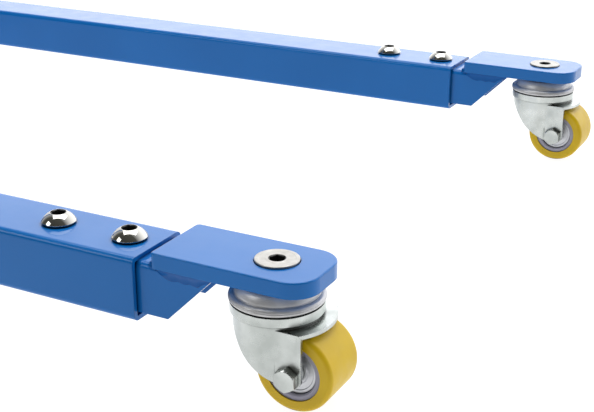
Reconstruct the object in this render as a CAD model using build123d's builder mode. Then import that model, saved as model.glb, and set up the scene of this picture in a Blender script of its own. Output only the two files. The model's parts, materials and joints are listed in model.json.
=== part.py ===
"""Engine stand on four swivel castors, in millimetres.

+X points to the front of the legs, +Z up. The origin is on the floor, in the middle of the base.
"""

import math
import os

from build123d import *

# Legs: two rectangular tubes that run the whole length of the base.
TUBE_WIDTH = 52.0
TUBE_HEIGHT = 41.5
TUBE_WALL = 3.0
TUBE_RADIUS = 4.0
TUBE_TOP = 78.0
LEG_LENGTH = 900.0
LEG_END = LEG_LENGTH / 2
LEG_Y = 257.0

# Castor arms: a channel, open downwards, that slides into each leg end, with a flat plate on it.
INSERT_WIDTH = 44.0
INSERT_HEIGHT = 33.0
INSERT_WALL = 3.0
INSERT_GRIP = 110.0
INSERT_REACH_BOTTOM = 21.5
INSERT_REACH_TOP = 54.5
PLATE_WIDTH = 52.0
PLATE_THICKNESS = 10.0
PLATE_REAR = 13.0
PLATE_TIP = 116.0
PLATE_TIP_RADIUS = 17.0
PLATE_REAR_RADIUS = 3.0
PLATE_UNDER = TUBE_TOP - TUBE_WALL
PLATE_TOP = PLATE_UNDER + PLATE_THICKNESS
CASTOR_X = 83.8

# Leg screws: M12 button heads in a pair on top of each leg end.
BUTTON_X = (-20.0, -75.0)
BUTTON_RADIUS = 11.3
BUTTON_HEIGHT = 8.3
BUTTON_RIM = 1.7
BUTTON_TUCK = 2.0
M12_RADIUS = 6.0
M12_CLEARANCE = 6.5
M12_KEY = 8.5
BUTTON_SHANK = 20.0
NUT_FLATS = 19.0
NUT_HEIGHT = 10.0

# Castor: M12 countersunk screw, pressed pan, kingpin with ball race, pressed fork.
SINK_RADIUS = 13.4
SINK_LAND = 1.9
SINK_GAP = 0.4
SINK_PROUD = 1.4
CASTOR_SCREW_LENGTH = 30.0
PAN_RADIUS = 28.8
PAN_UNDER = 61.9
KINGPIN_RADIUS = 8.0
KINGPIN_HEAD_RADIUS = 9.5
KINGPIN_HEAD = 1.5
RACE_RADIUS = 23.0
RACE_UNDER = 58.6
RACE_TOP = 61.0
BALL_RADIUS = 2.5
BALL_CIRCLE = 19.5
BALL_COUNT = 14
FORK_SHEET = 2.5
CROWN_RADIUS = 26.2
CUP_RADIUS = 28.1
CUP_FLARE = 55.5
CROWN_TOP = 53.0
CUP_TOP = 61.0
LIP_RADIUS = 35.4
CHEEK_Y = 23.6
CHEEK_EDGE = 27.7
HUG_CLEARANCE = 0.3
FIT_CLEARANCE = 0.05

# Wheel: polyurethane tread on a nylon core with two 6001 ball bearings.
WHEEL_RADIUS = 25.0
WHEEL_WIDTH = 36.0
TREAD_ROUND = 3.0
CORE_RADIUS = 17.6
CORE_WIDTH = 34.0
CORE_SPACER_RADIUS = 9.0
BEARING_RADIUS = 14.0
BEARING_WIDTH = 8.0
BEARING_INSET = 2.2
SLEEVE_RADIUS = 6.0
AXLE_RADIUS = 4.0
AXLE_FLATS = 13.0
AXLE_HEAD = 5.3
AXLE_NUT = 6.5
AXLE_TAIL = 3.0
LEG_FOOT_RADIUS = 8.0
TRAIL = 19.5

# Base and post.
BEAM_SIDE = 40.0
BEAM_X = (-430.0, -310.0)
POST_X = -370.0
BASE_PLATE = 160.0
BASE_PLATE_THICKNESS = 8.0
POST_SIDE = 60.0
POST_WALL = 4.0
GUSSET_REACH = 46.0
GUSSET_HEIGHT = 130.0
GUSSET_THICKNESS = 6.0
GUSSET_NOSE = 8.0

# Turning head.
HEAD_Z = 780.0
BARREL_RADIUS = 38.0
BARREL_LENGTH = 170.0
SPINDLE_RADIUS = 30.0
SPINDLE_WALL = 5.0
SPINDLE_REAR = 50.0
COLLAR_RADIUS = 40.0
COLLAR_WIDTH = 12.0
AXIAL_GAP = 0.5
DISC_RADIUS = 70.0
DISC_THICKNESS = 10.0
DISC_HOLES = 12
DISC_CIRCLE = 58.0
PIN_RADIUS = 6.0
PIN_HOLE_RADIUS = 6.1
PIN_LENGTH = 92.0
PIN_BUSH_RADIUS = 12.0
PIN_BUSH_LENGTH = 50.0
KNOB_RADIUS = 15.0
KNOB_LENGTH = 22.0
FACE_SIDE = 180.0
FACE_THICKNESS = 12.0
SLOT_LENGTH = 62.0
SLOT_WIDTH = 13.0
ARM_BOLT = 60.0
BAR_RADIUS = 10.0
BAR_LENGTH = 420.0

# Arms: slotted flat bars with a stand-off sleeve for the engine's bolt at the far end.
ARM_WIDTH = 30.0
ARM_THICKNESS = 10.0
ARM_REACH = 120.0
ARM_SLOT = 40.0
ARM_SLOT_WIDTH = 12.0
STANDOFF_RADIUS = 11.0
STANDOFF_BORE = 5.25
STANDOFF_LENGTH = 60.0
M12_HEAD = 7.5
WASHER_RADIUS = 12.0
WASHER_THICKNESS = 2.5

CORNERS = {
    "front_left": (1, 1),
    "front_right": (1, -1),
    "rear_left": (-1, 1),
    "rear_right": (-1, -1),
}
ARMS = {"arm_1": (1, 1), "arm_2": (-1, 1), "arm_3": (-1, -1), "arm_4": (1, -1)}

BARREL_REAR = POST_X - BARREL_LENGTH / 2
BARREL_FRONT = POST_X + BARREL_LENGTH / 2
DISC_REAR = BARREL_FRONT + AXIAL_GAP
FACE_REAR = DISC_REAR + DISC_THICKNESS
FACE_FRONT = FACE_REAR + FACE_THICKNESS


def end_plane(corner):
    """Floor plane under a leg's end: x outwards along the leg, z up."""
    end, side = CORNERS[corner]
    return Plane(origin=(end * LEG_END, side * LEG_Y, 0), x_dir=(end, 0, 0), z_dir=(0, 0, 1))


def castor_plane(corner):
    """Floor plane on a castor's swivel axis: x towards the trailing side, z up."""
    end, side = CORNERS[corner]
    x = end * (LEG_END + CASTOR_X)
    return Plane(origin=(x, side * LEG_Y, 0), x_dir=(end, 0, 0), z_dir=(0, 0, 1))


def upright(base):
    """Plane of the side view through a base plane's origin: x outwards, y up."""
    return Plane(origin=base.origin, x_dir=base.x_dir, z_dir=-base.y_dir)


def across(base, x):
    """Plane square to the leg, at x outwards from a base plane's origin: x across, y up."""
    return Plane(origin=base.origin + base.x_dir * x, x_dir=base.y_dir, z_dir=base.x_dir)


def facing(x, y=0.0, z=HEAD_Z):
    """Plane square to the spindle: local x is +Y, local y is +Z, normal +X."""
    return Plane(origin=(x, y, z), x_dir=(0, 1, 0), z_dir=(1, 0, 0))


def vertical_axis(base):
    return Axis(base.origin, (0, 0, 1))


def axle_plane(base):
    """Plane on the wheel's axle: x up the wheel's radius, y along the axle."""
    centre = base.origin + base.x_dir * TRAIL + Vector(0, 0, WHEEL_RADIUS)
    return Plane(origin=centre, x_dir=(0, 0, 1), z_dir=base.x_dir)


def axle_axis(base):
    plane = axle_plane(base)
    return Axis(plane.origin, plane.y_dir)


def axle_face(base, y):
    """Plane square to the axle at y across, normal along local +y."""
    plane = axle_plane(base)
    return Plane(origin=plane.origin + base.y_dir * y, x_dir=base.x_dir, z_dir=base.y_dir)


def box_tube(width, height, wall, radius):
    """Section of a rounded rectangular tube, inside a sketch."""
    RectangleRounded(width, height, radius)
    inner_radius = max(radius - wall, 1.0)
    RectangleRounded(width - 2 * wall, height - 2 * wall, inner_radius, mode=Mode.SUBTRACT)


def hexagon(flats, turn=0):
    """Hexagon by its width across flats, inside a sketch."""
    RegularPolygon(flats / 2, 6, major_radius=False, rotation=turn)


def crown_profile(plane, flats, height):
    """Half section of a crowned hexagon head or nut that stands on the plane's x axis."""
    corner = flats / math.sqrt(3)
    with BuildSketch(plane) as profile:
        with BuildLine():
            Polyline(
                (0, 0),
                (corner + 0.1, 0),
                (corner + 0.1, height - 0.9),
                (flats / 2 - 0.1, height),
                (0, height),
                close=True,
            )
        make_face()
    return profile.sketch


def save(part, name):
    part.label = name
    export_step(part, "parts/" + name + ".step")


def make_leg(side):
    with BuildPart() as leg:
        with BuildSketch(Plane(origin=(-LEG_END, side * LEG_Y, TUBE_TOP - TUBE_HEIGHT / 2),
                               x_dir=(0, 1, 0), z_dir=(1, 0, 0))):
            box_tube(TUBE_WIDTH, TUBE_HEIGHT, TUBE_WALL, TUBE_RADIUS)
        extrude(amount=LEG_LENGTH)
        for end in (1, -1):
            for x in BUTTON_X:
                with Locations((end * (LEG_END + x), side * LEG_Y, TUBE_TOP)):
                    Hole(M12_CLEARANCE, depth=TUBE_WALL + 1)
    return leg.part


def make_insert(base):
    """A channel that slides into the leg: two walls cut to a slope at the end, and a top wall."""
    middle = PLATE_UNDER - INSERT_HEIGHT / 2
    section = across(base, -INSERT_GRIP)
    with BuildPart() as insert:
        with BuildSketch(Plane(section.origin + Vector(0, 0, middle), section.x_dir, section.z_dir)):
            RectangleRounded(INSERT_WIDTH, INSERT_HEIGHT, TUBE_RADIUS)
            with Locations((0, -INSERT_HEIGHT / 4)):
                Rectangle(INSERT_WIDTH, INSERT_HEIGHT / 2)
            with Locations((0, -INSERT_WALL)):
                Rectangle(INSERT_WIDTH - 2 * INSERT_WALL, INSERT_HEIGHT, mode=Mode.SUBTRACT)
        extrude(amount=INSERT_GRIP + INSERT_REACH_TOP)
        low = PLATE_UNDER - INSERT_HEIGHT
        slope = (INSERT_REACH_TOP - INSERT_REACH_BOTTOM) / INSERT_HEIGHT
        with BuildSketch(upright(base)):
            with BuildLine():
                Polyline(
                    (INSERT_REACH_BOTTOM - slope, low - 1),
                    (INSERT_REACH_TOP + slope, PLATE_UNDER + 1),
                    (INSERT_REACH_TOP + 20, PLATE_UNDER + 1),
                    (INSERT_REACH_TOP + 20, low - 1),
                    close=True,
                )
            make_face()
        extrude(amount=INSERT_WIDTH, both=True, mode=Mode.SUBTRACT)
        for x in BUTTON_X:
            spot = base.origin + base.x_dir * x
            with Locations((spot.X, spot.Y, PLATE_UNDER)):
                Hole(M12_CLEARANCE, depth=INSERT_WALL + 1)
    return insert.part


def make_caster_plate(base):
    length = PLATE_TIP - PLATE_REAR
    with BuildPart() as plate:
        with BuildSketch(base.offset(PLATE_UNDER)) as outline:
            with Locations(((PLATE_TIP + PLATE_REAR) / 2, 0)):
                Rectangle(length, PLATE_WIDTH)
            fillet(outline.vertices().group_by(Axis.X)[-1], PLATE_TIP_RADIUS)
            fillet(outline.vertices().group_by(Axis.X)[0], PLATE_REAR_RADIUS)
        extrude(amount=PLATE_THICKNESS)
        fillet(plate.faces().sort_by(Axis.Z)[-1].outer_wire().edges(), 1.0)
        mouth = SINK_RADIUS + SINK_GAP
        throat = M12_CLEARANCE
        land = PLATE_TOP + SINK_PROUD - SINK_LAND
        with BuildSketch(upright(base)):
            with BuildLine():
                Polyline(
                    (CASTOR_X, PLATE_TOP + 1),
                    (CASTOR_X + mouth, PLATE_TOP + 1),
                    (CASTOR_X + mouth, land),
                    (CASTOR_X + throat, land - mouth + throat),
                    (CASTOR_X + throat, PLATE_UNDER - 1),
                    (CASTOR_X, PLATE_UNDER - 1),
                    close=True,
                )
            make_face()
        hole_axis = Axis(base.origin + base.x_dir * CASTOR_X, (0, 0, 1))
        revolve(axis=hole_axis, mode=Mode.SUBTRACT)
    return plate.part


def make_button_screws():
    """The eight leg screws: a dome that tucks in under its rim, a hexagon key hole, and a shank."""
    dome = BUTTON_HEIGHT - BUTTON_RIM
    sphere = (BUTTON_RADIUS**2 + dome**2) / (2 * dome)
    lift = math.sqrt(sphere**2 - (BUTTON_RADIUS / 2) ** 2) - (sphere - BUTTON_HEIGHT)
    foot = BUTTON_RADIUS - BUTTON_TUCK
    bulge = BUTTON_TUCK * (1 - math.sqrt(0.5))
    with BuildPart() as screws:
        for corner in CORNERS:
            for x in BUTTON_X:
                spot = end_plane(corner).origin + end_plane(corner).x_dir * x
                base = Plane(spot)
                with BuildSketch(upright(base)):
                    with BuildLine():
                        Polyline(
                            (0, TUBE_TOP + BUTTON_HEIGHT),
                            (0, TUBE_TOP - BUTTON_SHANK),
                            (M12_RADIUS, TUBE_TOP - BUTTON_SHANK),
                            (M12_RADIUS, TUBE_TOP),
                            (foot, TUBE_TOP),
                        )
                        ThreePointArc(
                            (foot, TUBE_TOP),
                            (BUTTON_RADIUS - bulge, TUBE_TOP + BUTTON_RIM * (1 - math.sqrt(0.5))),
                            (BUTTON_RADIUS, TUBE_TOP + BUTTON_RIM),
                        )
                        ThreePointArc(
                            (BUTTON_RADIUS, TUBE_TOP + BUTTON_RIM),
                            (BUTTON_RADIUS / 2, TUBE_TOP + lift),
                            (0, TUBE_TOP + BUTTON_HEIGHT),
                        )
                    make_face()
                revolve(axis=vertical_axis(base))
                with BuildSketch(base.offset(TUBE_TOP + BUTTON_HEIGHT)):
                    hexagon(M12_KEY)
                extrude(amount=-4.2, mode=Mode.SUBTRACT)
    return screws.part


def make_insert_nuts():
    """The weld nuts under the top wall of each channel."""
    top = PLATE_UNDER - INSERT_WALL
    with BuildPart() as nuts:
        for corner in CORNERS:
            for x in BUTTON_X:
                spot = end_plane(corner).origin + end_plane(corner).x_dir * x
                with BuildSketch(Plane(spot).offset(top - NUT_HEIGHT)):
                    hexagon(NUT_FLATS)
                    Circle(M12_RADIUS, mode=Mode.SUBTRACT)
                extrude(amount=NUT_HEIGHT)
    return nuts.part


def make_castor_screws():
    top = PLATE_TOP + SINK_PROUD
    land = top - SINK_LAND
    with BuildPart() as screws:
        for corner in CORNERS:
            base = castor_plane(corner)
            with BuildSketch(upright(base)):
                with BuildLine():
                    Polyline(
                        (0, top),
                        (SINK_RADIUS - 0.4, top),
                        (SINK_RADIUS, top - 0.4),
                        (SINK_RADIUS, land),
                        (M12_RADIUS, land - SINK_RADIUS + M12_RADIUS),
                        (M12_RADIUS, top - CASTOR_SCREW_LENGTH),
                        (0, top - CASTOR_SCREW_LENGTH),
                        close=True,
                    )
                make_face()
            revolve(axis=vertical_axis(base))
            with BuildSketch(base.offset(top)):
                hexagon(M12_KEY)
            extrude(amount=-5.0, mode=Mode.SUBTRACT)
    return screws.part


def make_pans():
    """The fixed pressed pans under the plates: a dome that ends in a rolled rim."""
    with BuildPart() as pans:
        for corner in CORNERS:
            base = castor_plane(corner)
            with BuildSketch(upright(base)):
                with BuildLine():
                    Line((KINGPIN_RADIUS, PLATE_UNDER), (15.5, PLATE_UNDER))
                    ThreePointArc((15.5, PLATE_UNDER), (21.9, 72.6), (25.3, 67.0))
                    Line((25.3, 67.0), (26.2, 66.5))
                    ThreePointArc((26.2, 66.5), (28.1, 66.0), (PAN_RADIUS, 64.4))
                    Line((PAN_RADIUS, 64.4), (PAN_RADIUS, 63.4))
                    ThreePointArc((PAN_RADIUS, 63.4), (28.4, 62.3), (27.4, PAN_UNDER))
                    Line((27.4, PAN_UNDER), (25.4, PAN_UNDER))
                    Line((25.4, PAN_UNDER), (24.4, 63.5))
                    ThreePointArc((24.4, 63.5), (20.9, 70.2), (15.0, 72.5))
                    Line((15.0, 72.5), (KINGPIN_RADIUS, 72.5))
                    Line((KINGPIN_RADIUS, 72.5), (KINGPIN_RADIUS, PLATE_UNDER))
                make_face()
            revolve(axis=vertical_axis(base))
    return pans.part


def make_kingpins():
    """The fixed kingpins: threaded for the castor screw, with the upper ball race."""
    under = CROWN_TOP - FORK_SHEET - HUG_CLEARANCE
    with BuildPart() as kingpins:
        for corner in CORNERS:
            base = castor_plane(corner)
            with BuildSketch(upright(base)):
                with BuildLine():
                    Polyline(
                        (M12_RADIUS, PLATE_UNDER),
                        (KINGPIN_RADIUS, PLATE_UNDER),
                        (KINGPIN_RADIUS, RACE_TOP),
                        (RACE_RADIUS, RACE_TOP),
                        (RACE_RADIUS, RACE_UNDER),
                        (KINGPIN_RADIUS, RACE_UNDER),
                        (KINGPIN_RADIUS, under),
                        (KINGPIN_HEAD_RADIUS, under),
                        (KINGPIN_HEAD_RADIUS, under - KINGPIN_HEAD + 0.5),
                        (KINGPIN_HEAD_RADIUS - 0.5, under - KINGPIN_HEAD),
                        (M12_RADIUS, under - KINGPIN_HEAD),
                        close=True,
                    )
                make_face()
            revolve(axis=vertical_axis(base))
    return kingpins.part


def make_balls():
    with BuildPart() as balls:
        for corner in CORNERS:
            base = castor_plane(corner)
            with Locations(base.offset(CROWN_TOP + HUG_CLEARANCE + BALL_RADIUS)):
                with PolarLocations(BALL_CIRCLE, BALL_COUNT):
                    Sphere(BALL_RADIUS)
    return balls.part


def make_fork(base):
    """Pressed fork: a round cup, a crown plate with a lip, and a cheek down each side."""
    foot = WHEEL_RADIUS - LEG_FOOT_RADIUS
    plate_under = CROWN_TOP - FORK_SHEET
    inner_y = CHEEK_Y - FORK_SHEET
    inner_radius = CROWN_RADIUS - FORK_SHEET
    with BuildPart() as fork:
        with BuildSketch(base.offset(foot - 1)):
            Circle(CROWN_RADIUS)
            with Locations((CHEEK_EDGE / 2, 0)):
                Rectangle(CHEEK_EDGE, 2 * CHEEK_Y)
            Circle(inner_radius, mode=Mode.SUBTRACT)
            with Locations((CHEEK_EDGE / 2 + 1, 0)):
                Rectangle(CHEEK_EDGE + 2, 2 * inner_y, mode=Mode.SUBTRACT)
        extrude(amount=CROWN_TOP - foot + 1)
        with BuildSketch(upright(base)):
            with BuildLine():
                Spline(
                    (-CROWN_RADIUS - 1, 52.5),
                    (-18.5, 44.0),
                    (-10.4, 34.3),
                    (0.1, 25.8),
                    (12.5, 19.0),
                )
                ThreePointArc((12.5, 19.0), (19.7, foot), (CHEEK_EDGE, 23.0))
                Polyline(
                    (CHEEK_EDGE, 23.0),
                    (CHEEK_EDGE, CROWN_TOP - 1),
                    (CHEEK_EDGE - 1, CROWN_TOP),
                    (-CROWN_RADIUS - 1, CROWN_TOP + 1),
                    (-CROWN_RADIUS - 1, 52.5),
                )
            make_face()
        extrude(amount=CROWN_RADIUS + 1, both=True, mode=Mode.INTERSECT)
        with BuildSketch(base.offset(plate_under)):
            Circle(LIP_RADIUS)
            with Locations((LIP_RADIUS / 2, 0)):
                Rectangle(LIP_RADIUS, 2 * CHEEK_Y, mode=Mode.INTERSECT)
            Circle(CROWN_RADIUS)
        extrude(amount=FORK_SHEET)
        cup_inner = CUP_RADIUS - FORK_SHEET
        with BuildSketch(upright(base)):
            with BuildLine():
                Polyline(
                    (inner_radius, CROWN_TOP),
                    (CROWN_RADIUS, CROWN_TOP),
                    (CROWN_RADIUS, CUP_FLARE - 1.2),
                    (CUP_RADIUS, CUP_FLARE),
                    (CUP_RADIUS, CUP_TOP),
                    (cup_inner, CUP_TOP),
                    (cup_inner, CUP_FLARE + 0.6),
                    (inner_radius, CUP_FLARE - 0.6),
                    close=True,
                )
            make_face()
        revolve(axis=vertical_axis(base))
        with BuildSketch(base.offset(plate_under - 1)):
            Circle(KINGPIN_RADIUS + FIT_CLEARANCE)
        extrude(amount=FORK_SHEET + 2, mode=Mode.SUBTRACT)
        with BuildSketch(axle_face(base, 0)):
            Circle(AXLE_RADIUS + 0.2)
        extrude(amount=CROWN_RADIUS, both=True, mode=Mode.SUBTRACT)
    return fork.part


def make_axle_bolt(base):
    length = 2 * CHEEK_Y + AXLE_NUT + AXLE_TAIL
    with BuildPart() as bolt:
        with BuildSketch(axle_face(base, -CHEEK_Y)):
            hexagon(AXLE_FLATS, 30)
        extrude(amount=-AXLE_HEAD)
        head = axle_face(base, -CHEEK_Y)
        section = Plane(origin=head.origin, x_dir=(0, 0, 1), z_dir=base.x_dir)
        crown = crown_profile(section, AXLE_FLATS, AXLE_HEAD)
        revolve(crown, axis=axle_axis(base), mode=Mode.INTERSECT)
        with BuildSketch(axle_face(base, -CHEEK_Y)):
            Circle(AXLE_RADIUS)
        extrude(amount=length)
    return bolt.part


def make_axle_nut(base):
    seat = axle_face(base, CHEEK_Y)
    with BuildPart() as nut:
        with BuildSketch(seat):
            hexagon(AXLE_FLATS, 30)
        extrude(amount=AXLE_NUT)
        section = Plane(origin=seat.origin, x_dir=(0, 0, 1), z_dir=base.x_dir * -1)
        crown = crown_profile(section, AXLE_FLATS, AXLE_NUT)
        revolve(crown, axis=axle_axis(base), mode=Mode.INTERSECT)
        with BuildSketch(seat):
            Circle(AXLE_RADIUS)
        extrude(amount=AXLE_NUT, mode=Mode.SUBTRACT)
    return nut.part


def make_axle_sleeve(base):
    inner_y = CHEEK_Y - FORK_SHEET
    with BuildPart() as sleeve:
        with BuildSketch(axle_face(base, -inner_y)):
            Circle(SLEEVE_RADIUS)
            Circle(AXLE_RADIUS + 0.1, mode=Mode.SUBTRACT)
        extrude(amount=2 * inner_y)
    return sleeve.part


def make_tread(base):
    with BuildPart() as tread:
        with BuildSketch(axle_plane(base)) as section:
            with Locations(((WHEEL_RADIUS + CORE_RADIUS) / 2, 0)):
                Rectangle(WHEEL_RADIUS - CORE_RADIUS, WHEEL_WIDTH)
            outer = section.vertices().group_by(Axis.X)[-1]
            fillet(outer, TREAD_ROUND)
        revolve(axis=axle_axis(base))
    return tread.part


def make_core(base):
    half = CORE_WIDTH / 2
    seat = half - BEARING_INSET - BEARING_WIDTH
    with BuildPart() as core:
        with BuildSketch(axle_plane(base)):
            with BuildLine():
                Polyline(
                    (CORE_RADIUS, -half),
                    (CORE_RADIUS, half),
                    (BEARING_RADIUS + 0.8, half),
                    (BEARING_RADIUS, half - 0.8),
                    (BEARING_RADIUS, seat),
                    (CORE_SPACER_RADIUS, seat),
                    (CORE_SPACER_RADIUS, -seat),
                    (BEARING_RADIUS, -seat),
                    (BEARING_RADIUS, 0.8 - half),
                    (BEARING_RADIUS + 0.8, -half),
                    close=True,
                )
            make_face()
        revolve(axis=axle_axis(base))
    return core.part


def make_bearings(base):
    """A pair of shielded ball bearings, each with a shallow ring groove in its outer face."""
    outer_face = CORE_WIDTH / 2 - BEARING_INSET
    inner_face = outer_face - BEARING_WIDTH
    bore = SLEEVE_RADIUS + FIT_CLEARANCE
    with BuildPart() as bearings:
        for side in (1, -1):
            with BuildSketch(axle_plane(base)):
                with BuildLine():
                    Polyline(
                        (bore, side * inner_face),
                        (BEARING_RADIUS, side * inner_face),
                        (BEARING_RADIUS, side * (outer_face - 0.4)),
                        (BEARING_RADIUS - 0.4, side * outer_face),
                        (BEARING_RADIUS - 2.0, side * outer_face),
                        (BEARING_RADIUS - 2.4, side * (outer_face - 0.5)),
                        (bore + 2.2, side * (outer_face - 0.5)),
                        (bore + 1.8, side * outer_face),
                        (bore, side * outer_face),
                        close=True,
                    )
                make_face()
            revolve(axis=axle_axis(base))
    return bearings.part


def make_cross_beams():
    length = 2 * LEG_Y - TUBE_WIDTH
    with BuildPart() as beams:
        for x in BEAM_X:
            centre = (x, -length / 2, TUBE_TOP - BEAM_SIDE / 2)
            with BuildSketch(Plane(origin=centre, x_dir=(1, 0, 0), z_dir=(0, 1, 0))):
                box_tube(BEAM_SIDE, BEAM_SIDE, TUBE_WALL, TUBE_RADIUS)
            extrude(amount=length)
    return beams.part


def make_base_plate():
    with BuildPart() as plate:
        with BuildSketch(Plane((POST_X, 0, TUBE_TOP))):
            RectangleRounded(BASE_PLATE, BASE_PLATE, 8)
        extrude(amount=BASE_PLATE_THICKNESS)
    return plate.part


def make_post():
    """The post, with its top cut to a saddle that fits the barrel."""
    foot = TUBE_TOP + BASE_PLATE_THICKNESS
    with BuildPart() as post:
        with BuildSketch(Plane((POST_X, 0, foot))):
            box_tube(POST_SIDE, POST_SIDE, POST_WALL, TUBE_RADIUS + 1)
        extrude(amount=HEAD_Z - foot)
        with BuildSketch(facing(POST_X)):
            Circle(BARREL_RADIUS)
        extrude(amount=POST_SIDE, both=True, mode=Mode.SUBTRACT)
    return post.part


def make_gussets():
    """Four triangular plates between the post and its base plate."""
    foot = TUBE_TOP + BASE_PLATE_THICKNESS
    with BuildPart() as gussets:
        for turn in (0, 90, 180, 270):
            angle = math.radians(turn)
            outwards = Vector(math.cos(angle), math.sin(angle), 0)
            sideways = Vector(math.sin(angle), -math.cos(angle), 0)
            origin = Vector(POST_X, 0, foot) + outwards * (POST_SIDE / 2)
            with BuildSketch(Plane(origin=origin, x_dir=outwards, z_dir=sideways)):
                with BuildLine():
                    Polyline(
                        (0, 0),
                        (GUSSET_REACH, 0),
                        (GUSSET_REACH, GUSSET_NOSE),
                        (GUSSET_NOSE, GUSSET_HEIGHT),
                        (0, GUSSET_HEIGHT),
                        close=True,
                    )
                make_face()
            extrude(amount=GUSSET_THICKNESS / 2, both=True)
    return gussets.part


def make_barrel():
    with BuildPart() as barrel:
        with BuildSketch(facing(BARREL_REAR)):
            Circle(BARREL_RADIUS)
            Circle(SPINDLE_RADIUS + FIT_CLEARANCE, mode=Mode.SUBTRACT)
        extrude(amount=BARREL_LENGTH)
    return barrel.part


def make_pin_bush():
    """The index pin's guide: a bored block welded on top of the barrel."""
    front = BARREL_FRONT - 4
    with BuildPart() as bush:
        with BuildSketch(facing(front - PIN_BUSH_LENGTH)):
            with Locations((0, DISC_CIRCLE)):
                Circle(PIN_BUSH_RADIUS)
            with Locations((0, (DISC_CIRCLE + BARREL_RADIUS / 2) / 2)):
                Rectangle(2 * PIN_BUSH_RADIUS - 4, DISC_CIRCLE - BARREL_RADIUS / 2)
            Circle(BARREL_RADIUS, mode=Mode.SUBTRACT)
            with Locations((0, DISC_CIRCLE)):
                Circle(PIN_RADIUS + FIT_CLEARANCE, mode=Mode.SUBTRACT)
        extrude(amount=PIN_BUSH_LENGTH)
    return bush.part


def make_spindle():
    rear = BARREL_REAR - SPINDLE_REAR
    with BuildPart() as spindle:
        with BuildSketch(facing(rear)):
            Circle(SPINDLE_RADIUS)
            Circle(SPINDLE_RADIUS - SPINDLE_WALL, mode=Mode.SUBTRACT)
        extrude(amount=FACE_REAR - rear)
        bar_x = rear + SPINDLE_REAR / 2 - COLLAR_WIDTH / 2
        with BuildSketch(Plane(origin=(bar_x, 0, HEAD_Z), x_dir=(1, 0, 0), z_dir=(0, 1, 0))):
            Circle(BAR_RADIUS)
        extrude(amount=SPINDLE_RADIUS + 1, both=True, mode=Mode.SUBTRACT)
    return spindle.part


def make_collar():
    with BuildPart() as collar:
        with BuildSketch(facing(BARREL_REAR - AXIAL_GAP - COLLAR_WIDTH)):
            Circle(COLLAR_RADIUS)
            Circle(SPINDLE_RADIUS, mode=Mode.SUBTRACT)
        extrude(amount=COLLAR_WIDTH)
        chamfer(collar.edges().filter_by(GeomType.CIRCLE).sort_by(SortBy.RADIUS)[-2:], 1.0)
    return collar.part


def make_index_disc():
    with BuildPart() as disc:
        with BuildSketch(facing(DISC_REAR)):
            Circle(DISC_RADIUS)
            Circle(SPINDLE_RADIUS, mode=Mode.SUBTRACT)
            with PolarLocations(DISC_CIRCLE, DISC_HOLES):
                Circle(PIN_HOLE_RADIUS, mode=Mode.SUBTRACT)
        extrude(amount=DISC_THICKNESS)
    return disc.part


def make_face_plate():
    """The square face plate: four slots on its diagonals for the arm bolts."""
    with BuildPart() as face:
        with BuildSketch(facing(FACE_REAR)):
            RectangleRounded(FACE_SIDE, FACE_SIDE, 20)
            Circle(SPINDLE_RADIUS - SPINDLE_WALL, mode=Mode.SUBTRACT)
            for quarter in range(4):
                turn = 45 + 90 * quarter
                reach = ARM_BOLT * math.sqrt(2)
                spot = (reach * math.cos(math.radians(turn)), reach * math.sin(math.radians(turn)))
                with Locations(Location((spot[0], spot[1], 0), (0, 0, turn))):
                    SlotOverall(SLOT_LENGTH, SLOT_WIDTH, mode=Mode.SUBTRACT)
        extrude(amount=FACE_THICKNESS)
    return face.part


def make_turning_bar():
    bar_x = BARREL_REAR - SPINDLE_REAR / 2 - COLLAR_WIDTH / 2
    start = (bar_x, -BAR_LENGTH / 2, HEAD_Z)
    with BuildPart() as bar:
        with BuildSketch(Plane(origin=start, x_dir=(1, 0, 0), z_dir=(0, 1, 0))):
            Circle(BAR_RADIUS)
        extrude(amount=BAR_LENGTH)
        fillet(bar.edges().filter_by(GeomType.CIRCLE), 4.0)
    return bar.part


def make_index_pin():
    tip = FACE_REAR - 1
    with BuildPart() as pin:
        with BuildSketch(facing(tip - PIN_LENGTH, 0, HEAD_Z + DISC_CIRCLE)):
            Circle(PIN_RADIUS)
        extrude(amount=PIN_LENGTH)
        chamfer(pin.edges().sort_by(Axis.X)[-1], 1.5)
    return pin.part


def make_pin_knob():
    start = FACE_REAR - 1 - PIN_LENGTH
    with BuildPart() as knob:
        with BuildSketch(facing(start - KNOB_LENGTH, 0, HEAD_Z + DISC_CIRCLE)):
            Circle(KNOB_RADIUS)
        extrude(amount=KNOB_LENGTH)
        fillet(knob.edges().filter_by(GeomType.CIRCLE), 4.0)
    return knob.part


def make_arm(sides):
    """A flat bar from its clamp bolt outwards along the face plate's diagonal."""
    across_sign, up_sign = sides
    hub = facing(FACE_FRONT, across_sign * ARM_BOLT, HEAD_Z + up_sign * ARM_BOLT)
    along = Vector(0, across_sign, up_sign).normalized()
    plane = Plane(origin=hub.origin, x_dir=along, z_dir=(1, 0, 0))
    with BuildPart() as arm:
        with BuildSketch(plane):
            with Locations((ARM_REACH / 2, 0)):
                SlotCenterToCenter(ARM_REACH, ARM_WIDTH)
            Circle(M12_CLEARANCE, mode=Mode.SUBTRACT)
            with Locations((ARM_REACH - ARM_SLOT / 2 + ARM_SLOT_WIDTH / 2, 0)):
                SlotOverall(ARM_SLOT, ARM_SLOT_WIDTH, mode=Mode.SUBTRACT)
        extrude(amount=ARM_THICKNESS)
        long_edges = arm.edges().filter_by(GeomType.LINE).filter_by(Axis.X, reverse=True)
        chamfer(long_edges.group_by(SortBy.LENGTH)[-1], 0.8)
    return arm.part


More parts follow.
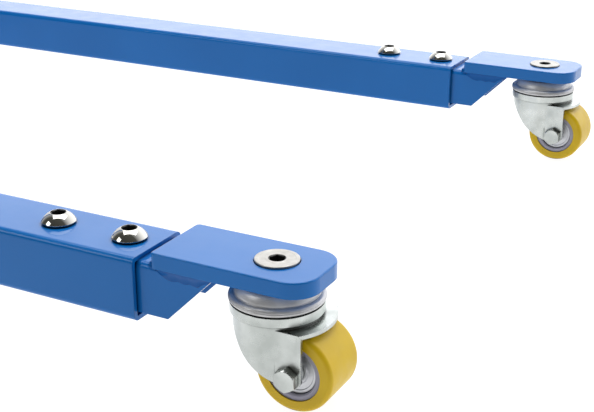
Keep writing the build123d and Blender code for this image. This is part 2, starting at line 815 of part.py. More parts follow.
def make_standoff(sides):
    """The sleeve on the arm's far end, bored for the bolt that goes into the engine."""
    across_sign, up_sign = sides
    step = ARM_BOLT + ARM_REACH / math.sqrt(2)
    plane = facing(FACE_FRONT + ARM_THICKNESS, across_sign * step, HEAD_Z + up_sign * step)
    with BuildPart() as standoff:
        with BuildSketch(plane):
            Circle(STANDOFF_RADIUS)
            Circle(STANDOFF_BORE, mode=Mode.SUBTRACT)
        extrude(amount=STANDOFF_LENGTH)
    return standoff.part


def make_arm_bolts():
    """The clamp bolts: each with a washer in front of its arm, and a washer and nut behind the plate."""
    seat = FACE_FRONT + ARM_THICKNESS
    nut_front = FACE_REAR - WASHER_THICKNESS
    shank_start = nut_front - NUT_HEIGHT - 4
    spots = [(y_sign * ARM_BOLT, HEAD_Z + z_sign * ARM_BOLT) for y_sign, z_sign in ARMS.values()]
    with BuildPart() as bolts:
        for y, z in spots:
            with BuildSketch(facing(seat + WASHER_THICKNESS, y, z)):
                hexagon(NUT_FLATS)
            extrude(amount=M12_HEAD)
            with BuildSketch(facing(shank_start, y, z)):
                Circle(M12_RADIUS)
            extrude(amount=seat + WASHER_THICKNESS - shank_start)
    with BuildPart() as washers:
        for y, z in spots:
            for x in (seat, nut_front):
                with BuildSketch(facing(x, y, z)):
                    Circle(WASHER_RADIUS)
                    Circle(M12_RADIUS, mode=Mode.SUBTRACT)
                extrude(amount=WASHER_THICKNESS)
    with BuildPart() as nuts:
        for y, z in spots:
            with BuildSketch(facing(nut_front - NUT_HEIGHT, y, z)):
                hexagon(NUT_FLATS)
                Circle(M12_RADIUS, mode=Mode.SUBTRACT)
            extrude(amount=NUT_HEIGHT)
    return Compound([bolts.part, washers.part, nuts.part])


def main():
    os.makedirs("parts", exist_ok=True)
    save(make_leg(1), "leg_left")
    save(make_leg(-1), "leg_right")
    save(Compound([make_insert(end_plane(corner)) for corner in CORNERS]), "insert_channels")
    save(Compound([make_caster_plate(end_plane(corner)) for corner in CORNERS]), "castor_plates")
    save(make_button_screws(), "leg_screws")
    save(make_insert_nuts(), "insert_nuts")
    save(make_castor_screws(), "castor_screws")
    save(make_pans(), "castor_pans")
    save(make_kingpins(), "castor_kingpins")
    save(make_balls(), "castor_balls")
    for corner in CORNERS:
        base = castor_plane(corner)
        save(make_fork(base), "fork_" + corner)
        save(make_axle_bolt(base), "axle_bolt_" + corner)
        save(make_axle_nut(base), "axle_nut_" + corner)
        save(make_axle_sleeve(base), "axle_sleeve_" + corner)
        save(make_tread(base), "tread_" + corner)
        save(make_core(base), "wheel_core_" + corner)
        save(make_bearings(base), "bearings_" + corner)
    save(make_cross_beams(), "cross_beams")
    save(make_base_plate(), "base_plate")
    save(make_post(), "post")
    save(make_gussets(), "post_gussets")
    save(make_barrel(), "barrel")
    save(make_pin_bush(), "pin_bush")
    save(make_spindle(), "spindle")
    save(make_collar(), "spindle_collar")
    save(make_index_disc(), "index_disc")
    save(make_face_plate(), "face_plate")
    save(make_turning_bar(), "turning_bar")
    save(make_index_pin(), "index_pin")
    save(make_pin_knob(), "pin_knob")
    save(make_arm_bolts(), "arm_bolts")
    for name, sides in ARMS.items():
        save(make_arm(sides), name)
        save(make_standoff(sides), "standoff_" + name[-1])


main()
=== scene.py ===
"""Engine stand: looks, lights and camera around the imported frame. Metres, +X to the front of the legs."""
import json
import math
import random

import bmesh
import bpy
from mathutils import Matrix, Vector


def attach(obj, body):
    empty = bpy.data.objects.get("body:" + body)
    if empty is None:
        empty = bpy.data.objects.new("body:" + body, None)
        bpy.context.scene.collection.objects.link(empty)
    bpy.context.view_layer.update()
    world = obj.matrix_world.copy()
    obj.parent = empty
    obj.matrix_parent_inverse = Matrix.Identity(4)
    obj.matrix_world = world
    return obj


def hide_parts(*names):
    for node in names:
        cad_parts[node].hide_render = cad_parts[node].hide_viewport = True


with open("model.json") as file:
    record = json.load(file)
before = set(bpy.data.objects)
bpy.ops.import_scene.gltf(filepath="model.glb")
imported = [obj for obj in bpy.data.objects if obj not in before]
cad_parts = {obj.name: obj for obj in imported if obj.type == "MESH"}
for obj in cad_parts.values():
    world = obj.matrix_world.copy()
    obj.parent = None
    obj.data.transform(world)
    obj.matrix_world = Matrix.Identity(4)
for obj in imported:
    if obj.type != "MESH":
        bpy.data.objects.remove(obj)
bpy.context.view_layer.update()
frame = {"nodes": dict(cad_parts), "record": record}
scene = bpy.context.scene
random.seed(7)

MM = 0.001
QUARTER = math.pi / 2
SLANT = math.sqrt(0.5)

# Legs, channels and plates. CORNERS holds each leg end as (end, side).
LEG_END = 0.450
LEG_Y = 0.257
LEG_SIDE = 0.026
TUBE_TOP = 0.078
PLATE_UNDER = 0.075
PLATE_TOP = 0.085
PLATE_REAR = 0.013
PLATE_SIDE = 0.026
INSERT_SIDE = 0.022
CORNERS = ((1, 1), (1, -1), (-1, 1), (-1, -1))

# Leg screws and castor screws, all M12.
BUTTON_X = (-0.020, -0.075)
BUTTON_TURNS = (0.3, 1.2)
BUTTON_RADIUS = 0.0113
BUTTON_RIM = 0.0017
BUTTON_HEIGHT = 0.0083
BUTTON_TUCK = 0.0020
BUTTON_MOUTH = 0.0052
BUTTON_KEY = 0.00425
BUTTON_SHANK = 0.0200
M12_RADIUS = 0.0060
THREAD_DEPTH = 0.0006
THREAD_STEP = 0.00085
THREAD_RINGS = 22
CASTOR_X = 0.0838
SINK_RADIUS = 0.0134
SINK_PROUD = 0.0014
SINK_KEY = 0.0044
SINK_SHANK = 0.0300

# Base, post and head.
BEAM_X = (-0.430, -0.310)
BEAM_SIDE = 0.020
BASE_SIDE = 0.080
BASE_TOP = 0.086
POST_X = -0.370
POST_SIDE = 0.030
GUSSET_SIDE = 0.003
GUSSET_OUT = (0.033, 0.0755)
GUSSET_UP = (0.090, 0.2145)
HEAD_Z = 0.780
BARREL_RADIUS = 0.038
BUSH_SIDE = 0.010
BUSH_X = (-0.337, -0.291)
SPINDLE_RADIUS = 0.030
BAR_X = -0.486
BAR_RADIUS = 0.010
PIN_RISE = 0.058
KNOB_X = -0.3895
KNOB_RADIUS = 0.0150
FLUTES = 12
FLUTE_DEPTH = 0.0012
ARMS = {"arm_1": (1, 1), "arm_2": (-1, 1), "arm_3": (-1, -1), "arm_4": (1, -1)}
ARM_BOLT = 0.060
ARM_REACH = 0.120
ARM_FACE_X = -0.2525
STANDOFF_RADIUS = 0.011

# Weld beads: a run of round puddles, whose middle lies just off the faces that it joins.
BEAD_OFF = 0.0002
BEAD_PITCH = 0.0034
BEAD_SIDES = 10
FILLET_STEPS = 44
FILLET_LENGTH = 0.0400
FILLET_DROP = 0.0072


# ---------------------------------------------------------------- materials

def new_material(name):
    """A material, its node tree and its shader."""
    material = bpy.data.materials.new(name)
    material.use_nodes = True
    return material, material.node_tree, material.node_tree.nodes["Principled BSDF"]


def add_noise(tree, scale, detail, stretch=(1, 1, 1)):
    """Noise in object space, stretched along the axes; gives its factor."""
    place = tree.nodes.new("ShaderNodeTexCoord")
    mapping = tree.nodes.new("ShaderNodeMapping")
    mapping.inputs["Scale"].default_value = stretch
    noise = tree.nodes.new("ShaderNodeTexNoise")
    noise.inputs["Scale"].default_value = scale
    noise.inputs["Detail"].default_value = detail
    tree.links.new(place.outputs["Object"], mapping.inputs["Vector"])
    tree.links.new(mapping.outputs["Vector"], noise.inputs["Vector"])
    return noise.outputs["Fac"]


def ramp_between(tree, factor, low, high):
    """Colour ramp from low to high over the middle of a noise; gives its colour."""
    ramp = tree.nodes.new("ShaderNodeValToRGB")
    first, last = ramp.color_ramp.elements
    first.position = 0.3
    first.color = (*low, 1)
    last.position = 0.7
    last.color = (*high, 1)
    tree.links.new(factor, ramp.inputs["Fac"])
    return ramp.outputs["Color"]


def map_range(tree, value, low, high, start=0.3, end=0.7):
    """Spreads start..end of a value over low..high; gives the result."""
    node = tree.nodes.new("ShaderNodeMapRange")
    node.inputs["From Min"].default_value = start
    node.inputs["From Max"].default_value = end
    node.inputs["To Min"].default_value = low
    node.inputs["To Max"].default_value = high
    tree.links.new(value, node.inputs["Value"])
    return node.outputs["Result"]


def vary_tone_and_paint_shade(tree, shader, noise, low, high, dark, depth):
    """Base colour with a change of tone, and painted shade: darker in corners and gaps, mixed in by ambient
    occlusion.
    """
    # Painted shade: the ambient occlusion mask blends the dark colour into the base colour in corners and
    # gaps, where shade falls.
    reach = tree.nodes.new("ShaderNodeAmbientOcclusion")
    reach.samples = 8
    reach.inputs["Distance"].default_value = depth
    mix = tree.nodes.new("ShaderNodeMix")
    mix.data_type = "RGBA"
    mix.inputs["A"].default_value = (*dark, 1)
    tree.links.new(map_range(tree, reach.outputs["AO"], 0.0, 1.0, 0.25, 0.85), mix.inputs["Factor"])
    tree.links.new(ramp_between(tree, noise, low, high), mix.inputs["B"])
    tree.links.new(mix.outputs["Result"], shader.inputs["Base Color"])


def vary_roughness(tree, shader, noise, low, high):
    """Roughness that changes from patch to patch."""
    tree.links.new(map_range(tree, noise, low, high), shader.inputs["Roughness"])


def add_bump(tree, shader, sources, edge_radius):
    """Rounded edges in the shading, with bumps over them, each (height, strength, distance)."""
    bevel = tree.nodes.new("ShaderNodeBevel")
    bevel.samples = 4
    bevel.inputs["Radius"].default_value = edge_radius
    normal = bevel.outputs["Normal"]
    for height, strength, distance in sources:
        bump = tree.nodes.new("ShaderNodeBump")
        bump.inputs["Strength"].default_value = strength
        bump.inputs["Distance"].default_value = distance
        tree.links.new(height, bump.inputs["Height"])
        tree.links.new(normal, bump.inputs["Normal"])
        normal = bump.outputs["Normal"]
    tree.links.new(normal, shader.inputs["Normal"])


def make_blue_paint(name, low, high, gloss):
    """Glossy blue powder coat: faint orange peel, faint change of tone, and painted shade that deepens the
    blue in the corners.
    """
    material, tree, shader = new_material(name)
    # Painted shade: the near-black blue is mixed in at corners and gaps.
    vary_tone_and_paint_shade(tree, shader, add_noise(tree, 9.0, 2.0), low, high, (0.002, 0.030, 0.12), 0.004)
    vary_roughness(tree, shader, add_noise(tree, 60.0, 4.0), 0.30, 0.40)
    shader.inputs["Specular IOR Level"].default_value = 0.06
    shader.inputs["Coat Weight"].default_value = gloss
    shader.inputs["Coat Roughness"].default_value = 0.03
    shader.inputs["Coat IOR"].default_value = 1.33
    wave = add_noise(tree, 45.0, 1.0)
    peel = add_noise(tree, 420.0, 2.0)
    add_bump(tree, shader, [(wave, 0.05, 0.0005), (peel, 0.04, 0.0002)], 0.0009)
    return material


def make_zinc():
    """Bright zinc plate on pressed steel: cloudy, with fine rolling lines and small pits."""
    material, tree, shader = new_material("bright_zinc")
    cloud = add_noise(tree, 55.0, 5.0)
    # Painted shade: the dark grey is mixed in at the zinc's corners and gaps.
    vary_tone_and_paint_shade(tree, shader, cloud, (0.44, 0.47, 0.45), (0.66, 0.69, 0.67), (0.08, 0.08, 0.075), 0.003)
    vary_roughness(tree, shader, add_noise(tree, 120.0, 4.0), 0.20, 0.38)
    shader.inputs["Metallic"].default_value = 1.0
    pits = add_noise(tree, 300.0, 3.0)
    grain = add_noise(tree, 900.0, 2.0, (1, 1, 0.25))
    add_bump(tree, shader, [(pits, 0.10, 0.0002), (grain, 0.06, 0.0001)], 0.0005)
    return material


def make_metal(name, low, high, rough, scale, bump=0.05, metallic=1.0):
    """Machined or polished metal with a changing roughness and fine marks."""
    material, tree, shader = new_material(name)
    # Painted shade: near black is mixed in at corners and gaps.
    vary_tone_and_paint_shade(tree, shader, add_noise(tree, scale, 4.0), low, high, (0.03, 0.03, 0.03), 0.0025)
    vary_roughness(tree, shader, add_noise(tree, scale * 2.5, 3.0), *rough)
    shader.inputs["Metallic"].default_value = metallic
    marks = add_noise(tree, scale * 8, 2.0)
    add_bump(tree, shader, [(marks, bump, 0.0001)], 0.0003)
    return material


def make_plastic(name, low, high, rough, scale, bump, subsurface=0.0, shine=0.4):
    """Moulded plastic or rubber: slightly uneven colour, fine moulding texture."""
    material, tree, shader = new_material(name)
    # Painted shade: a quarter of the base colour is mixed in at corners and gaps.
    dark = tuple(0.25 * channel for channel in low)
    vary_tone_and_paint_shade(tree, shader, add_noise(tree, scale, 3.0), low, high, dark, 0.003)
    vary_roughness(tree, shader, add_noise(tree, scale * 3, 3.0), *rough)
    shader.inputs["Specular IOR Level"].default_value = shine
    if subsurface:
        shader.inputs["Subsurface Weight"].default_value = subsurface
        shader.inputs["Subsurface Radius"].default_value = (0.004, 0.0025, 0.0005)
        shader.inputs["Subsurface Scale"].default_value = 0.5
    texture = add_noise(tree, scale * 12, 2.0)
    add_bump(tree, shader, [(texture, bump, 0.0002)], 0.0004)
    return material


MATERIALS = {
    "blue_paint": make_blue_paint("blue_powder_coat", (0.003, 0.140, 0.46), (0.005, 0.158, 0.51), 0.85),
    "zinc": make_zinc(),
    "chrome": make_metal("polished_chrome", (0.46, 0.45, 0.41), (0.56, 0.55, 0.51), (0.03, 0.08), 60.0, 0.02),
    "satin_steel": make_metal("satin_steel", (0.58, 0.56, 0.52), (0.70, 0.68, 0.64), (0.28, 0.40), 150.0),
    "bearing_steel": make_metal("bearing_steel", (0.62, 0.63, 0.66), (0.72, 0.73, 0.76), (0.42, 0.52), 90.0),
    "yellow_tread": make_plastic("yellow_polyurethane", (0.65, 0.43, 0.002), (0.72, 0.49, 0.004),
                                 (0.36, 0.48), 45.0, 0.08, subsurface=0.12, shine=0.38),
    "grey_nylon": make_plastic("grey_nylon", (0.34, 0.33, 0.42), (0.42, 0.41, 0.50),
                               (0.40, 0.52), 80.0, 0.06),
    "black_knob": make_plastic("black_knob", (0.012, 0.012, 0.013), (0.022, 0.022, 0.024),
                               (0.28, 0.38), 60.0, 0.05),
}
HEAD_STEEL = make_metal("turned_head", (0.36, 0.35, 0.32), (0.46, 0.45, 0.42), (0.30, 0.42), 220.0)
# Painted shade: a near-black material fills each key hole and stands in for the shade inside the recess.
SOCKET_SHADE = make_metal("key_hole_painted_shade", (0.05, 0.05, 0.05), (0.09, 0.09, 0.085), (0.40, 0.55), 300.0)
PAN_ZINC = make_metal("pan_zinc", (0.50, 0.50, 0.50), (0.68, 0.68, 0.69), (0.30, 0.42), 70.0, metallic=0.35)
# Painted shade: every weld bead gets a darker copy of the blue powder coat, copying the shade in the corners
# under the plates' edges.
SHADED_WELD_PAINT = make_blue_paint("blue_weld_painted_shade", (0.002, 0.080, 0.29), (0.004, 0.095, 0.35), 0.25)

SLOT_OF = {part["node"]: part["material_slot"] for part in frame["record"]["subparts"]}
for node_name, node_object in frame["nodes"].items():
    node_object.data.materials.clear()
    node_object.data.materials.append(MATERIALS[SLOT_OF[node_name]])


# ---------------------------------------------------------------- shapes that the new pieces share

def corner_matrix(corner, x=0.0):
    """From a leg end's own axes, x outwards, to the scene."""
    end, side = corner
    turn = Matrix.Rotation(0 if end > 0 else math.pi, 4, "Z")
    return Matrix.Translation((end * (LEG_END + x), side * LEG_Y, 0)) @ turn


def finish_piece(name, mesh_data, body, slot, material=None, replaced=(), sharp=35):
    """Turns a bmesh into a piece that rides on a body, with edges over sharp degrees kept sharp."""
    bmesh.ops.recalc_face_normals(mesh_data, faces=mesh_data.faces)
    for face in mesh_data.faces:
        face.smooth = True
    limit = math.radians(sharp)
    for edge in mesh_data.edges:
        if len(edge.link_faces) == 2 and edge.calc_face_angle() > limit:
            edge.smooth = False
    mesh = bpy.data.meshes.new(name)
    mesh_data.to_mesh(mesh)
    mesh_data.free()
    mesh.materials.append(material or MATERIALS[slot])
    # Painted shade: faces marked 1 are key holes and take the near-black shade material.
    if any(polygon.material_index for polygon in mesh.polygons):
        mesh.materials.append(SOCKET_SHADE)
    piece = bpy.data.objects.new(name, mesh)
    scene.collection.objects.link(piece)
    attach(piece, body)
    if replaced:
        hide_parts(*replaced)


def round_points(radius, steps, middle=(0.0, 0.0)):
    """Points evenly round a circle."""
    angles = [2 * math.pi * i / steps for i in range(steps)]
    return [(middle[0] + radius * math.cos(a), middle[1] + radius * math.sin(a)) for a in angles]


def arc(start, middle, end, steps):
    """Points on the circle through three points, without the first."""
    (ax, ay), (bx, by), (cx, cy) = start, middle, end
    d = 2 * (ax * (by - cy) + bx * (cy - ay) + cx * (ay - by))
    a2, b2, c2 = ax * ax + ay * ay, bx * bx + by * by, cx * cx + cy * cy
    ux = (a2 * (by - cy) + b2 * (cy - ay) + c2 * (ay - by)) / d
    uy = (a2 * (cx - bx) + b2 * (ax - cx) + c2 * (bx - ax)) / d
    radius = math.hypot(ax - ux, ay - uy)
    first = math.atan2(ay - uy, ax - ux)
    span_middle = (math.atan2(by - uy, bx - ux) - first) % (2 * math.pi)
    span = (math.atan2(cy - uy, cx - ux) - first) % (2 * math.pi)
    if span_middle > span:
        span -= 2 * math.pi
    angles = [first + span * i / steps for i in range(1, steps + 1)]
    return [(ux + radius * math.cos(a), uy + radius * math.sin(a)) for a in angles]


def rounded_square(half, corner):
    """Points around a square with rounded corners, about its centre."""
    points = []
    for quarter in range(4):
        middle = math.radians(45 + 90 * quarter)
        cx = math.copysign(half - corner, math.cos(middle))
        cy = math.copysign(half - corner, math.sin(middle))
        for i in range(5):
            angle = math.radians(90 * quarter + 22.5 * i)
            points.append((cx + corner * math.cos(angle), cy + corner * math.sin(angle)))
    return points


def hexagon_reach(apothem):
    """Radius of a hexagon by angle."""
    def reach(angle):
        return apothem / math.cos((angle % (math.pi / 3)) - math.pi / 6)
    return reach


def fluted_reach(radius):
    """Radius of a fluted grip by angle."""
    def reach(angle):
        return radius - FLUTE_DEPTH * (0.5 - 0.5 * math.cos(FLUTES * angle)) ** 2
    return reach


def skin(mesh_data, loops, closed=False):
    """Faces between loops of vertices: the last loop meets the first one, or both ends get a cap."""
    count = len(loops[0])
    pairs = list(zip(loops, loops[1:]))
    if closed:
        pairs.append((loops[-1], loops[0]))
    for low, high in pairs:
        for i in range(count):
            j = (i + 1) % count
            mesh_data.faces.new((low[i], low[j], high[j], high[i]))
    if not closed:
        mesh_data.faces.new(loops[0][::-1])
        mesh_data.faces.new(loops[-1])


def loft(mesh_data, rings, place, steps=72, closed=False):
    """Skin over rings of (radius or radius by angle, height) about the place's z axis; gives its loops."""
    loops = []
    for shape, height in rings:
        loop = []
        for i in range(steps):
            angle = 2 * math.pi * i / steps
            radius = shape(angle) if callable(shape) else shape
            spot = Vector((radius * math.cos(angle), radius * math.sin(angle), height))
            loop.append(mesh_data.verts.new(place @ spot))
        loops.append(loop)
    skin(mesh_data, loops, closed)
    return loops


def bead(mesh_data, points, radius, closed=False):
    """A weld bead: a round run along the points with the ripple of each puddle."""
    spots = [Vector(point) for point in points]
    if closed:
        spots.append(spots[0])
    step = BEAD_PITCH / 5
    dense = []
    for a, b in zip(spots, spots[1:]):
        count = max(1, round((b - a).length / step))
        dense += [a.lerp(b, i / count) for i in range(count)]
    if not closed:
        dense.append(spots[-1])
    total = len(dense)
    loops = []
    previous = None
    for i, spot in enumerate(dense):
        ahead = dense[(i + 1) % total] if closed else dense[min(i + 1, total - 1)]
        behind = dense[i - 1] if closed else dense[max(i - 1, 0)]
        along = (ahead - behind).normalized()
        side = previous - along * previous.dot(along) if previous else along.orthogonal()
        side.normalize()
        previous = side
        other = along.cross(side)
        ripple = 0.86 + 0.14 * abs(math.sin(math.pi * i * step / BEAD_PITCH)) + random.uniform(-0.02, 0.02)
        fade = 1.0 if closed else min(1.0, 0.25 + min(i, total - 1 - i) * step / radius)
        section = round_points(radius * ripple * fade, BEAD_SIDES)
        loops.append([mesh_data.verts.new(spot + side * a + other * b) for a, b in section])
    skin(mesh_data, loops, closed)


# ---------------------------------------------------------------- screws, pans and knob

def threaded_shank(foot):
    """Rings up an M12 shank from its foot, with crests and roots in turn."""
    rings = [(M12_RADIUS - 0.0010, foot)]
    for i in range(THREAD_RINGS):
        rings.append((M12_RADIUS - THREAD_DEPTH * (i % 2), foot + 0.0005 + THREAD_STEP * i))
    return rings


def socket_rings(top, apothem, depth):
    """A chamfered hexagon key hole, from its mouth down to its floor."""
    reach = hexagon_reach(apothem)
    floor = top - depth
    return [(apothem * 1.20, top), (reach, top - 0.0006), (reach, floor), (0.0006, floor - 0.0012)]


def paint_socket_shade(loops):
    """Gives a key hole, the loft's last faces, the second material: near-black painted shade."""
    inside = {vertex for loop in loops[-4:] for vertex in loop}
    for vertex in inside:
        for face in vertex.link_faces:
            if inside.issuperset(face.verts):
                face.material_index = 1


def button_outline():
    """Radius and height up a button head: tucked in under its rim, then domed up to the key hole."""
    edge = BUTTON_TUCK * (1 - SLANT)
    foot = (BUTTON_RADIUS - BUTTON_TUCK, 0.0)
    rim = (BUTTON_RADIUS, BUTTON_RIM)
    dome = BUTTON_HEIGHT - BUTTON_RIM
    sphere = (BUTTON_RADIUS**2 + dome**2) / (2 * dome)
    halfway = math.sqrt(sphere**2 - (BUTTON_RADIUS / 2) ** 2) - (sphere - BUTTON_HEIGHT)
    crown = arc(rim, (BUTTON_RADIUS / 2, halfway), (0.0, BUTTON_HEIGHT), 40)
    tuck = arc(foot, (BUTTON_RADIUS - edge, BUTTON_RIM * (1 - SLANT)), rim, 8)
    return [foot] + tuck + [point for point in crown if point[0] > BUTTON_MOUTH]


def make_leg_screws():
    """Polished button heads on the legs, with threads on the shank."""
    mesh_data = bmesh.new()
    outline = button_outline()
    rings = threaded_shank(-BUTTON_SHANK) + [(M12_RADIUS, -0.0002)] + outline
    rings += socket_rings(outline[-1][1], BUTTON_KEY, 0.0040)
    for corner in CORNERS:
        for x, turn in zip(BUTTON_X, BUTTON_TURNS):
            place = corner_matrix(corner, x) @ Matrix.Translation((0, 0, TUBE_TOP))
            paint_socket_shade(loft(mesh_data, rings, place @ Matrix.Rotation(turn, 4, "Z")))
    finish_piece("button_screws", mesh_data, "frame", "chrome", replaced=("leg_screws",))


def make_castor_screws():
    """Countersunk heads that stand a little proud of the plates, with a shallow turned groove."""
    mesh_data = bmesh.new()
    top = PLATE_TOP + SINK_PROUD
    edge = (SINK_RADIUS, top - 0.0006)
    rings = threaded_shank(top - SINK_SHANK)
    rings += [(M12_RADIUS, top - 0.0093), (SINK_RADIUS, top - 0.0019), edge]
    rings += arc(edge, (SINK_RADIUS - 0.0002, top - 0.00015), (SINK_RADIUS - 0.0007, top), 4)
    rings += [(0.0110, top), (0.0108, top - 0.00012), (0.0070, top - 0.00012), (0.0068, top)]
    rings += socket_rings(top, SINK_KEY, 0.0050)
    for corner in CORNERS:
        paint_socket_shade(loft(mesh_data, rings, corner_matrix(corner, CASTOR_X), 96))
    finish_piece("countersunk_screws", mesh_data, "frame", "satin_steel", material=HEAD_STEEL,
                 replaced=("castor_screws",), sharp=25)


def make_pans():
    """The pressed pans: a domed top, a step, and a rolled rim with a groove round it."""
    mesh_data = bmesh.new()
    outline = [(8.0, 75.0), (15.5, 75.0)]
    outline += arc((15.5, 75.0), (21.9, 72.6), (25.3, 67.0), 16)
    outline += arc((25.3, 67.0), (25.6, 66.3), (26.2, 66.3), 4)
    outline += arc((26.2, 66.3), (28.1, 65.7), (28.8, 64.4), 8)
    outline += [(28.55, 64.05), (28.8, 63.7)]
    outline += arc((28.8, 63.7), (28.4, 62.4), (27.4, 61.9), 8)
    outline += [(25.4, 61.9), (24.4, 63.5)]
    outline += arc((24.4, 63.5), (20.9, 70.2), (15.0, 72.5), 10)
    outline += [(8.0, 72.5)]
    rings = [(radius * MM, height * MM) for radius, height in outline]
    for corner in CORNERS:
        loft(mesh_data, rings, corner_matrix(corner, CASTOR_X), 120, closed=True)
    finish_piece("pressed_pans", mesh_data, "frame", "zinc", material=PAN_ZINC,
                 replaced=("castor_pans",), sharp=30)


def make_knob():
    """A fluted grip on the index pin."""
    mesh_data = bmesh.new()
    place = Matrix.Translation((KNOB_X, 0, HEAD_Z + PIN_RISE)) @ Matrix.Rotation(QUARTER, 4, "Y")
    rings = [(0.0100, 0.0), (0.0118, 0.0004)]
    for i in range(13):
        share = i / 12
        barrelled = KNOB_RADIUS - 0.0012 * abs(2 * share - 1) ** 3
        rings.append((fluted_reach(barrelled), 0.0018 + 0.0184 * share))
    rings += [(0.0118, 0.0216), (0.0100, 0.0220), (0.0080, 0.0216), (0.0078, 0.0210)]
    loft(mesh_data, rings, place, 144)
    finish_piece("fluted_knob", mesh_data, "pin", "black_knob", replaced=("pin_knob",), sharp=40)


# ---------------------------------------------------------------- welds

def fillet(mesh_data, place, side):
    """A painted fillet under a plate's long edge, with the uneven foot of a hand-laid weld."""
    loops = []
    for i in range(FILLET_STEPS + 1):
        share = i / FILLET_STEPS
        x = PLATE_REAR + 0.0015 + FILLET_LENGTH * share
        fade = min(1.0, 4 * share + 0.35, 3.2 * (1 - share) + 0.12)
        wobble = 1 + 0.05 * math.sin(29 * share) + random.uniform(-0.015, 0.015)
        drop = FILLET_DROP * fade * wobble
        reach = (PLATE_SIDE - INSERT_SIDE - 0.0004) * min(1.0, fade + 0.15)
        outline = [(-0.0010, 0.0), (reach, 0.0), (reach * 0.93, -drop * 0.10)]
        outline += [(reach * 0.52, -drop * 0.36), (reach * 0.20, -drop * 0.68)]
        outline += [(0.0001, -drop), (-0.0010, -drop)]
        loops.append([
            mesh_data.verts.new(place @ Vector((x, side * (INSERT_SIDE + out), PLATE_UNDER + down)))
            for out, down in outline
        ])
    skin(mesh_data, loops)


def make_plate_welds():
    """Fillets under the plates' long edges, and beads across and around each plate's rear edge."""
    mesh_data = bmesh.new()
    for corner in CORNERS:
        place = corner_matrix(corner)
        for side in (1, -1):
            fillet(mesh_data, place, side)
        rear = [(PLATE_REAR - 0.0002, y * MM, PLATE_UNDER + 0.0003) for y in range(-21, 22, 2)]
        bead(mesh_data, [place @ Vector(point) for point in rear], 0.0034)
        for side in (1, -1):
            lump = [
                (PLATE_REAR - 0.0005, side * 0.0195, PLATE_UNDER + 0.0012),
                (PLATE_REAR - 0.0002, side * 0.0225, PLATE_UNDER + 0.0008),
                (PLATE_REAR + 0.0030, side * 0.0236, PLATE_UNDER - 0.0006),
            ]
            bead(mesh_data, [place @ Vector(point) for point in lump], 0.0030)
    finish_piece("plate_welds", mesh_data, "frame", "blue_paint", material=SHADED_WELD_PAINT, sharp=60)


def saddle_ring(outline):
    """The post's outline, closely spaced and dropped onto the underside of the barrel."""
    ring = []
    for (ax, ay), (bx, by) in zip(outline, outline[1:] + outline[:1]):
        for i in range(8):
            x = POST_X + ax + (bx - ax) * i / 8
            y = ay + (by - ay) * i / 8
            ring.append((x, y, HEAD_Z - math.sqrt((BARREL_RADIUS + BEAD_OFF) ** 2 - y * y)))
    return ring


def make_base_welds():
    """Beads that join the beams, base plate, post, gussets, barrel and pin bush."""
    mesh_data = bmesh.new()
    beam_ring = rounded_square(BEAM_SIDE, 0.004)
    for x in BEAM_X:
        for side in (1, -1):
            y = side * (LEG_Y - LEG_SIDE - BEAD_OFF)
            ring = [(x + a, y, TUBE_TOP - BEAM_SIDE + b) for a, b in beam_ring]
            bead(mesh_data, ring, 0.0026, closed=True)
        for side in (1, -1):
            y = side * (BASE_SIDE + BEAD_OFF)
            bead(mesh_data, [(x + a, y, TUBE_TOP + 0.0005) for a in (-0.017, 0.017)], 0.0032)
    post_ring = rounded_square(POST_SIDE + BEAD_OFF, 0.005)
    bead(mesh_data, [(POST_X + a, b, BASE_TOP) for a, b in post_ring], 0.0034, closed=True)
    for quarter in range(4):
        turn = Matrix.Translation((POST_X, 0, 0)) @ Matrix.Rotation(QUARTER * quarter, 4, "Z")
        for side in (1, -1):
            y = side * (GUSSET_SIDE + BEAD_OFF)
            bead(mesh_data, [turn @ Vector((out, y, BASE_TOP)) for out in GUSSET_OUT], 0.0027)
            bead(mesh_data, [turn @ Vector((POST_SIDE + BEAD_OFF, y, up)) for up in GUSSET_UP], 0.0025)
    bead(mesh_data, saddle_ring(post_ring), 0.0034, closed=True)
    seat = HEAD_Z + math.sqrt(BARREL_RADIUS**2 - BUSH_SIDE**2)
    for side in (1, -1):
        bead(mesh_data, [(x, side * (BUSH_SIDE + 0.0003), seat) for x in BUSH_X], 0.0028)
    finish_piece("base_welds", mesh_data, "frame", "blue_paint", material=SHADED_WELD_PAINT, sharp=60)


def make_bar_welds():
    """Beads around the turning bar, where it leaves the spindle on either side."""
    mesh_data = bmesh.new()
    for side in (1, -1):
        ring = []
        for a, b in round_points(BAR_RADIUS + BEAD_OFF, 36):
            reach = math.sqrt((SPINDLE_RADIUS + BEAD_OFF) ** 2 - b * b)
            ring.append((BAR_X + a, side * reach, HEAD_Z + b))
        bead(mesh_data, ring, 0.0022, closed=True)
    finish_piece("bar_welds", mesh_data, "head", "blue_paint", material=SHADED_WELD_PAINT, sharp=60)


def make_arm_welds():
    """A bead around the foot of each arm's stand-off."""
    step = ARM_BOLT + ARM_REACH * SLANT
    for name, (across, up) in ARMS.items():
        mesh_data = bmesh.new()
        circle = round_points(STANDOFF_RADIUS + BEAD_OFF, 40, (across * step, HEAD_Z + up * step))
        bead(mesh_data, [(ARM_FACE_X, y, z) for y, z in circle], 0.0022, closed=True)
        finish_piece(name + "_weld", mesh_data, name, "blue_paint", material=SHADED_WELD_PAINT, sharp=60)


make_leg_screws()
make_castor_screws()
make_pans()
make_knob()
make_plate_welds()
make_base_welds()
make_bar_welds()
make_arm_welds()


# ---------------------------------------------------------------- camera and light

CAMERA_PLACE = Vector((0.8330, -0.7899, 0.35433))
CAMERA_YAW = math.radians(28.25)
CAMERA_PITCH = math.radians(21.13)
CAMERA_LENS = 70.55
MIDDLE = (0.45, -0.1, 0.05)
FLOOR_HALF = 15.0


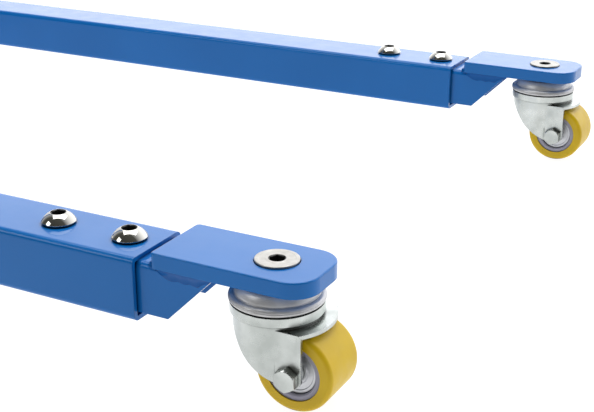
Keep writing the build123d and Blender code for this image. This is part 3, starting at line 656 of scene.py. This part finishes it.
def add_camera():
    """The camera off the near front corner, looking down and back across both front leg ends."""
    forward = Vector((
        -math.sin(CAMERA_YAW) * math.cos(CAMERA_PITCH),
        math.cos(CAMERA_YAW) * math.cos(CAMERA_PITCH),
        -math.sin(CAMERA_PITCH),
    ))
    right = Vector((math.cos(CAMERA_YAW), math.sin(CAMERA_YAW), 0))
    up = right.cross(forward)
    data = bpy.data.cameras.new("camera")
    data.sensor_width = 36.0
    data.lens = CAMERA_LENS
    data.clip_start = 0.01
    camera = bpy.data.objects.new("camera", data)
    camera.matrix_world = Matrix((
        (right.x, up.x, -forward.x, CAMERA_PLACE.x),
        (right.y, up.y, -forward.y, CAMERA_PLACE.y),
        (right.z, up.z, -forward.z, CAMERA_PLACE.z),
        (0, 0, 0, 1),
    ))
    scene.collection.objects.link(camera)
    scene.camera = camera


def add_area(name, place, size, power):
    """A soft rectangular light that points at the middle of the picture."""
    data = bpy.data.lights.new(name, "AREA")
    data.shape = "RECTANGLE"
    data.size, data.size_y = size
    data.energy = power
    lamp = bpy.data.objects.new(name, data)
    lamp.location = place
    lamp.rotation_euler = (Vector(MIDDLE) - Vector(place)).to_track_quat("-Z", "Y").to_euler()
    scene.collection.objects.link(lamp)


def add_world():
    """A studio tent along Y: dark on the camera's side, white behind the stand."""
    world = bpy.data.worlds.new("studio")
    world.use_nodes = True
    nodes = world.node_tree.nodes
    links = world.node_tree.links
    background = nodes["Background"]
    place = nodes.new("ShaderNodeTexCoord")
    split = nodes.new("ShaderNodeSeparateXYZ")
    side = nodes.new("ShaderNodeMath")
    side.operation = "MULTIPLY_ADD"
    side.inputs[1].default_value = 0.5
    side.inputs[2].default_value = 0.5
    ramp = nodes.new("ShaderNodeValToRGB")
    stops = ramp.color_ramp.elements
    stops[0].color = (0.06, 0.06, 0.055, 1)
    stops[1].color = (2.3, 2.3, 2.35, 1)
    stops.new(0.45).color = (0.12, 0.12, 0.11, 1)
    stops.new(0.62).color = (0.75, 0.76, 0.80, 1)
    links.new(place.outputs["Generated"], split.inputs["Vector"])
    links.new(split.outputs["Y"], side.inputs[0])
    links.new(side.outputs["Value"], ramp.inputs["Fac"])
    links.new(ramp.outputs["Color"], background.inputs["Color"])
    background.inputs["Strength"].default_value = 1.0
    scene.world = world


def add_floor():
    """A plain pale floor, bright enough of its own to give a white background."""
    mesh = bpy.data.meshes.new("floor")
    corners = [(x * FLOOR_HALF, y * FLOOR_HALF, 0) for x, y in ((-1, -1), (1, -1), (1, 1), (-1, 1))]
    mesh.from_pydata(corners, [], [(0, 1, 2, 3)])
    floor = bpy.data.objects.new("floor", mesh)
    material, tree, shader = new_material("pale_floor")
    tone = ramp_between(tree, add_noise(tree, 3.0, 2.0), (0.16, 0.16, 0.162), (0.18, 0.18, 0.182))
    tree.links.new(tone, shader.inputs["Base Color"])
    shader.inputs["Roughness"].default_value = 0.7
    shader.inputs["Emission Color"].default_value = (1, 1, 1, 1)
    shader.inputs["Emission Strength"].default_value = 0.93
    mesh.materials.append(material)
    scene.collection.objects.link(floor)


add_camera()
add_world()
add_floor()
add_area("soft_top", (0.2, 0.3, 2.2), (2.4, 1.6), 37)
add_area("key_left", (-0.9, -1.6, 1.3), (0.9, 0.7), 7)
scene.view_settings.view_transform = "Standard"
scene.view_settings.look = "None"
